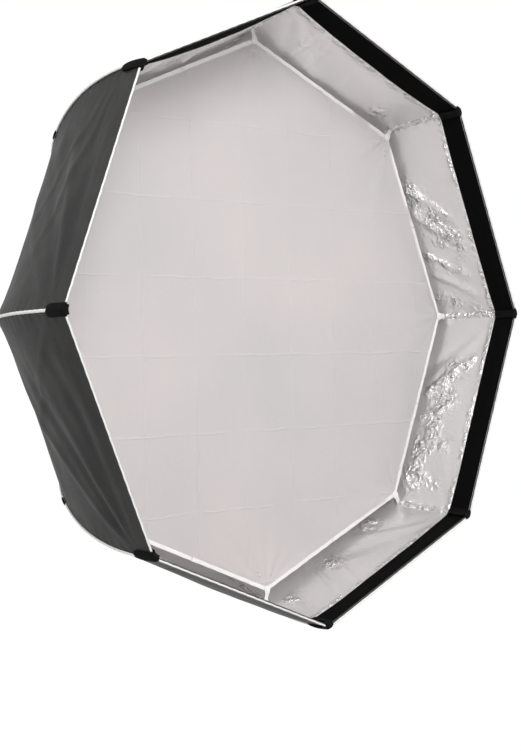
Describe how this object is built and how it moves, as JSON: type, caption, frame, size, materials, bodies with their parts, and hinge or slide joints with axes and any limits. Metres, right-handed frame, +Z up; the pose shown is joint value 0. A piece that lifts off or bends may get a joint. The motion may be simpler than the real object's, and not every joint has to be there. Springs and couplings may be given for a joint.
{
  "type": "studio softbox",
  "caption": "Folding octagonal studio softbox with curved hinged ribs, black and silver fabric panels, a recessed inner diffuser and a turning lamp mount.",
  "frame": {"origin": "on the light axis, in the plane where the mount insert's flange seats against the lamp", "axes": "+Y along the light axis towards the lamp, so the open front faces -Y; +Z up through rib 1; +X to the right as seen from in front"},
  "size_m": [1.5092, 0.7181, 1.5092],
  "materials": {
    "insert_metal": "satin",
    "ring_metal": "satin",
    "steel": "satin",
    "knob_rubber": "matte",
    "button_plastic": "satin",
    "socket_metal": "satin",
    "rib_rod": "satin",
    "boot_fabric": "matte",
    "diffuser_fabric": "matte",
    "collar_fabric": "matte",
    "shell_fabric": "matte",
    "silver_lining": "polished",
    "piping_fabric": "satin",
    "loop_band": "matte"
  },
  "bodies": {
    "insert": {"mount_insert": "insert_metal", "retaining_ring": "ring_metal", "ring_screws": "steel"},
    "ring": {"speedring": "ring_metal", "hinge_pins": "steel", "button_springs": "steel", "rear_collar": "collar_fabric", "inner_diffuser": "diffuser_fabric", "diffuser_tabs": "diffuser_fabric"},
    "knob": {"clamp_knob": "knob_rubber"},
    "rib_1": {"rib_socket_1": "socket_metal", "rib_rod_1": "rib_rod", "corner_boot_1": "boot_fabric"},
    "rib_2": {"rib_socket_2": "socket_metal", "rib_rod_2": "rib_rod", "corner_boot_2": "boot_fabric"},
    "rib_3": {"rib_socket_3": "socket_metal", "rib_rod_3": "rib_rod", "corner_boot_3": "boot_fabric"},
    "rib_4": {"rib_socket_4": "socket_metal", "rib_rod_4": "rib_rod", "corner_boot_4": "boot_fabric"},
    "rib_5": {"rib_socket_5": "socket_metal", "rib_rod_5": "rib_rod", "corner_boot_5": "boot_fabric"},
    "rib_6": {"rib_socket_6": "socket_metal", "rib_rod_6": "rib_rod", "corner_boot_6": "boot_fabric"},
    "rib_7": {"rib_socket_7": "socket_metal", "rib_rod_7": "rib_rod", "corner_boot_7": "boot_fabric"},
    "rib_8": {"rib_socket_8": "socket_metal", "rib_rod_8": "rib_rod", "corner_boot_8": "boot_fabric"},
    "panel_1_2_rib_1_side": {"panel_1_2_rib_1_side": "shell_fabric"},
    "panel_1_2_rib_2_side": {"panel_1_2_rib_2_side": "shell_fabric"},
    "panel_2_3_rib_2_side": {"panel_2_3_rib_2_side": "shell_fabric"},
    "panel_2_3_rib_3_side": {"panel_2_3_rib_3_side": "shell_fabric"},
    "panel_3_4_rib_3_side": {"panel_3_4_rib_3_side": "shell_fabric"},
    "panel_3_4_rib_4_side": {"panel_3_4_rib_4_side": "shell_fabric"},
    "panel_4_5_rib_4_side": {"panel_4_5_rib_4_side": "shell_fabric"},
    "panel_4_5_rib_5_side": {"panel_4_5_rib_5_side": "shell_fabric"},
    "panel_5_6_rib_5_side": {"panel_5_6_rib_5_side": "shell_fabric"},
    "panel_5_6_rib_6_side": {"panel_5_6_rib_6_side": "shell_fabric"},
    "panel_6_7_rib_6_side": {"panel_6_7_rib_6_side": "shell_fabric"},
    "panel_6_7_rib_7_side": {"panel_6_7_rib_7_side": "shell_fabric"},
    "panel_7_8_rib_7_side": {"panel_7_8_rib_7_side": "shell_fabric"},
    "panel_7_8_rib_8_side": {"panel_7_8_rib_8_side": "shell_fabric"},
    "panel_8_1_rib_8_side": {"panel_8_1_rib_8_side": "shell_fabric"},
    "panel_8_1_rib_1_side": {"panel_8_1_rib_1_side": "shell_fabric"},
    "button_1": {"release_button_1": "button_plastic"},
    "button_2": {"release_button_2": "button_plastic"},
    "button_3": {"release_button_3": "button_plastic"},
    "button_4": {"release_button_4": "button_plastic"},
    "button_5": {"release_button_5": "button_plastic"},
    "button_6": {"release_button_6": "button_plastic"},
    "button_7": {"release_button_7": "button_plastic"},
    "button_8": {"release_button_8": "button_plastic"}
  },
  "joints": [
    {"name": "ring_turn", "type": "hinge", "parent": "insert", "child": "ring", "pos_m": [0, 0, 0], "axis": [0, 1, 0], "continuous": true},
    {"name": "clamp_turn", "type": "hinge", "parent": "ring", "child": "knob", "pos_m": [0.031, 0.005, -0.07483], "axis": [0, 1, 0], "range_deg": [0, 360]},
    {"name": "rib_1_fold", "type": "hinge", "parent": "ring", "child": "rib_1", "pos_m": [0, -0.02, 0.1], "axis": [1, 0, 0], "range_deg": [0, 45], "deforming": ["inner_diffuser", "diffuser_tabs", "rear_collar"]},
    {"name": "rib_2_fold", "type": "hinge", "parent": "ring", "child": "rib_2", "pos_m": [0.07071, -0.02, 0.07071], "axis": [0.7071, 0, -0.7071], "range_deg": [0, 45]},
    {"name": "rib_3_fold", "type": "hinge", "parent": "ring", "child": "rib_3", "pos_m": [0.1, -0.02, 0], "axis": [0, 0, -1], "range_deg": [0, 45]},
    {"name": "rib_4_fold", "type": "hinge", "parent": "ring", "child": "rib_4", "pos_m": [0.07071, -0.02, -0.07071], "axis": [-0.7071, 0, -0.7071], "range_deg": [0, 45]},
    {"name": "rib_5_fold", "type": "hinge", "parent": "ring", "child": "rib_5", "pos_m": [0, -0.02, -0.1], "axis": [-1, 0, 0], "range_deg": [0, 45]},
    {"name": "rib_6_fold", "type": "hinge", "parent": "ring", "child": "rib_6", "pos_m": [-0.07071, -0.02, -0.07071], "axis": [-0.7071, 0, 0.7071], "range_deg": [0, 45]},
    {"name": "rib_7_fold", "type": "hinge", "parent": "ring", "child": "rib_7", "pos_m": [-0.1, -0.02, 0], "axis": [0, 0, 1], "range_deg": [0, 45]},
    {"name": "rib_8_fold", "type": "hinge", "parent": "ring", "child": "rib_8", "pos_m": [-0.07071, -0.02, 0.07071], "axis": [0.7071, 0, 0.7071], "range_deg": [0, 45]},
    {"name": "panel_1_2_rib_1_side_fold", "type": "hinge", "parent": "rib_1", "child": "panel_1_2_rib_1_side", "pos_m": [0.01989, -0.02, 0.1], "axis": [-0.9158, -0.1537, -0.3711], "range_deg": [0, 23.8], "deforming": ["panel_1_2_rib_1_side"]},
    {"name": "panel_1_2_rib_2_side_fold", "type": "hinge", "parent": "rib_2", "child": "panel_1_2_rib_2_side", "pos_m": [0.05665, -0.02, 0.08478], "axis": [-0.3852, 0.1537, 0.9099], "range_deg": [0, 23.8], "deforming": ["panel_1_2_rib_2_side"]},
    {"name": "panel_2_3_rib_2_side_fold", "type": "hinge", "parent": "rib_2", "child": "panel_2_3_rib_2_side", "pos_m": [0.08478, -0.02, 0.05665], "axis": [-0.9099, -0.1537, 0.3852], "range_deg": [0, 23.8], "deforming": ["panel_2_3_rib_2_side"]},
    {"name": "panel_2_3_rib_3_side_fold", "type": "hinge", "parent": "rib_3", "child": "panel_2_3_rib_3_side", "pos_m": [0.1, -0.02, 0.01989], "axis": [0.3711, 0.1537, 0.9158], "range_deg": [0, 23.8], "deforming": ["panel_2_3_rib_3_side"]},
    {"name": "panel_3_4_rib_3_side_fold", "type": "hinge", "parent": "rib_3", "child": "panel_3_4_rib_3_side", "pos_m": [0.1, -0.02, -0.01989], "axis": [-0.3711, -0.1537, 0.9158], "range_deg": [0, 23.8], "deforming": ["panel_3_4_rib_3_side"]},
    {"name": "panel_3_4_rib_4_side_fold", "type": "hinge", "parent": "rib_4", "child": "panel_3_4_rib_4_side", "pos_m": [0.08478, -0.02, -0.05665], "axis": [0.9099, 0.1537, 0.3852], "range_deg": [0, 23.8], "deforming": ["panel_3_4_rib_4_side"]},
    {"name": "panel_4_5_rib_4_side_fold", "type": "hinge", "parent": "rib_4", "child": "panel_4_5_rib_4_side", "pos_m": [0.05665, -0.02, -0.08478], "axis": [0.3852, -0.1537, 0.9099], "range_deg": [0, 23.8], "deforming": ["panel_4_5_rib_4_side"]},
    {"name": "panel_4_5_rib_5_side_fold", "type": "hinge", "parent": "rib_5", "child": "panel_4_5_rib_5_side", "pos_m": [0.01989, -0.02, -0.1], "axis": [0.9158, 0.1537, -0.3711], "range_deg": [0, 23.8], "deforming": ["panel_4_5_rib_5_side"]},
    {"name": "panel_5_6_rib_5_side_fold", "type": "hinge", "parent": "rib_5", "child": "panel_5_6_rib_5_side", "pos_m": [-0.01989, -0.02, -0.1], "axis": [0.9158, -0.1537, 0.3711], "range_deg": [0, 23.8], "deforming": ["panel_5_6_rib_5_side"]},
    {"name": "panel_5_6_rib_6_side_fold", "type": "hinge", "parent": "rib_6", "child": "panel_5_6_rib_6_side", "pos_m": [-0.05665, -0.02, -0.08478], "axis": [0.3852, 0.1537, -0.9099], "range_deg": [0, 23.8], "deforming": ["panel_5_6_rib_6_side"]},
    {"name": "panel_6_7_rib_6_side_fold", "type": "hinge", "parent": "rib_6", "child": "panel_6_7_rib_6_side", "pos_m": [-0.08478, -0.02, -0.05665], "axis": [0.9099, -0.1537, -0.3852], "range_deg": [0, 23.8], "deforming": ["panel_6_7_rib_6_side"]},
    {"name": "panel_6_7_rib_7_side_fold", "type": "hinge", "parent": "rib_7", "child": "panel_6_7_rib_7_side", "pos_m": [-0.1, -0.02, -0.01989], "axis": [-0.3711, 0.1537, -0.9158], "range_deg": [0, 23.8], "deforming": ["panel_6_7_rib_7_side"]},
    {"name": "panel_7_8_rib_7_side_fold", "type": "hinge", "parent": "rib_7", "child": "panel_7_8_rib_7_side", "pos_m": [-0.1, -0.02, 0.01989], "axis": [0.3711, -0.1537, -0.9158], "range_deg": [0, 23.8], "deforming": ["panel_7_8_rib_7_side"]},
    {"name": "panel_7_8_rib_8_side_fold", "type": "hinge", "parent": "rib_8", "child": "panel_7_8_rib_8_side", "pos_m": [-0.08478, -0.02, 0.05665], "axis": [-0.9099, 0.1537, -0.3852], "range_deg": [0, 23.8], "deforming": ["panel_7_8_rib_8_side"]},
    {"name": "panel_8_1_rib_8_side_fold", "type": "hinge", "parent": "rib_8", "child": "panel_8_1_rib_8_side", "pos_m": [-0.05665, -0.02, 0.08478], "axis": [-0.3852, -0.1537, -0.9099], "range_deg": [0, 23.8], "deforming": ["panel_8_1_rib_8_side"]},
    {"name": "panel_8_1_rib_1_side_fold", "type": "hinge", "parent": "rib_1", "child": "panel_8_1_rib_1_side", "pos_m": [-0.01989, -0.02, 0.1], "axis": [-0.9158, 0.1537, 0.3711], "range_deg": [0, 23.8], "deforming": ["panel_8_1_rib_1_side"]},
    {"name": "button_1_press", "type": "slide", "parent": "ring", "child": "button_1", "axis": [0, 1, 0], "range_m": [0, 0.004], "stiffness_N_per_m": 500, "deforming": ["button_springs"]},
    {"name": "button_2_press", "type": "slide", "parent": "ring", "child": "button_2", "axis": [0, 1, 0], "range_m": [0, 0.004], "stiffness_N_per_m": 500, "deforming": ["button_springs"]},
    {"name": "button_3_press", "type": "slide", "parent": "ring", "child": "button_3", "axis": [0, 1, 0], "range_m": [0, 0.004], "stiffness_N_per_m": 500, "deforming": ["button_springs"]},
    {"name": "button_4_press", "type": "slide", "parent": "ring", "child": "button_4", "axis": [0, 1, 0], "range_m": [0, 0.004], "stiffness_N_per_m": 500, "deforming": ["button_springs"]},
    {"name": "button_5_press", "type": "slide", "parent": "ring", "child": "button_5", "axis": [0, 1, 0], "range_m": [0, 0.004], "stiffness_N_per_m": 500, "deforming": ["button_springs"]},
    {"name": "button_6_press", "type": "slide", "parent": "ring", "child": "button_6", "axis": [0, 1, 0], "range_m": [0, 0.004], "stiffness_N_per_m": 500, "deforming": ["button_springs"]},
    {"name": "button_7_press", "type": "slide", "parent": "ring", "child": "button_7", "axis": [0, 1, 0], "range_m": [0, 0.004], "stiffness_N_per_m": 500, "deforming": ["button_springs"]},
    {"name": "button_8_press", "type": "slide", "parent": "ring", "child": "button_8", "axis": [0, 1, 0], "range_m": [0, 0.004], "stiffness_N_per_m": 500, "deforming": ["button_springs"]}
  ],
  "couplings": [
    {"joint": "rib_2_fold", "follows": "rib_1_fold", "ratio": 1},
    {"joint": "rib_3_fold", "follows": "rib_1_fold", "ratio": 1},
    {"joint": "rib_4_fold", "follows": "rib_1_fold", "ratio": 1},
    {"joint": "rib_5_fold", "follows": "rib_1_fold", "ratio": 1},
    {"joint": "rib_6_fold", "follows": "rib_1_fold", "ratio": 1},
    {"joint": "rib_7_fold", "follows": "rib_1_fold", "ratio": 1},
    {"joint": "rib_8_fold", "follows": "rib_1_fold", "ratio": 1},
    {"joint": "panel_1_2_rib_1_side_fold", "follows": "rib_1_fold", "ratio": 0.52896},
    {"joint": "panel_1_2_rib_2_side_fold", "follows": "rib_1_fold", "ratio": 0.52896},
    {"joint": "panel_2_3_rib_2_side_fold", "follows": "rib_1_fold", "ratio": 0.52896},
    {"joint": "panel_2_3_rib_3_side_fold", "follows": "rib_1_fold", "ratio": 0.52896},
    {"joint": "panel_3_4_rib_3_side_fold", "follows": "rib_1_fold", "ratio": 0.52896},
    {"joint": "panel_3_4_rib_4_side_fold", "follows": "rib_1_fold", "ratio": 0.52896},
    {"joint": "panel_4_5_rib_4_side_fold", "follows": "rib_1_fold", "ratio": 0.52896},
    {"joint": "panel_4_5_rib_5_side_fold", "follows": "rib_1_fold", "ratio": 0.52896},
    {"joint": "panel_5_6_rib_5_side_fold", "follows": "rib_1_fold", "ratio": 0.52896},
    {"joint": "panel_5_6_rib_6_side_fold", "follows": "rib_1_fold", "ratio": 0.52896},
    {"joint": "panel_6_7_rib_6_side_fold", "follows": "rib_1_fold", "ratio": 0.52896},
    {"joint": "panel_6_7_rib_7_side_fold", "follows": "rib_1_fold", "ratio": 0.52896},
    {"joint": "panel_7_8_rib_7_side_fold", "follows": "rib_1_fold", "ratio": 0.52896},
    {"joint": "panel_7_8_rib_8_side_fold", "follows": "rib_1_fold", "ratio": 0.52896},
    {"joint": "panel_8_1_rib_8_side_fold", "follows": "rib_1_fold", "ratio": 0.52896},
    {"joint": "panel_8_1_rib_1_side_fold", "follows": "rib_1_fold", "ratio": 0.52896}
  ]
}
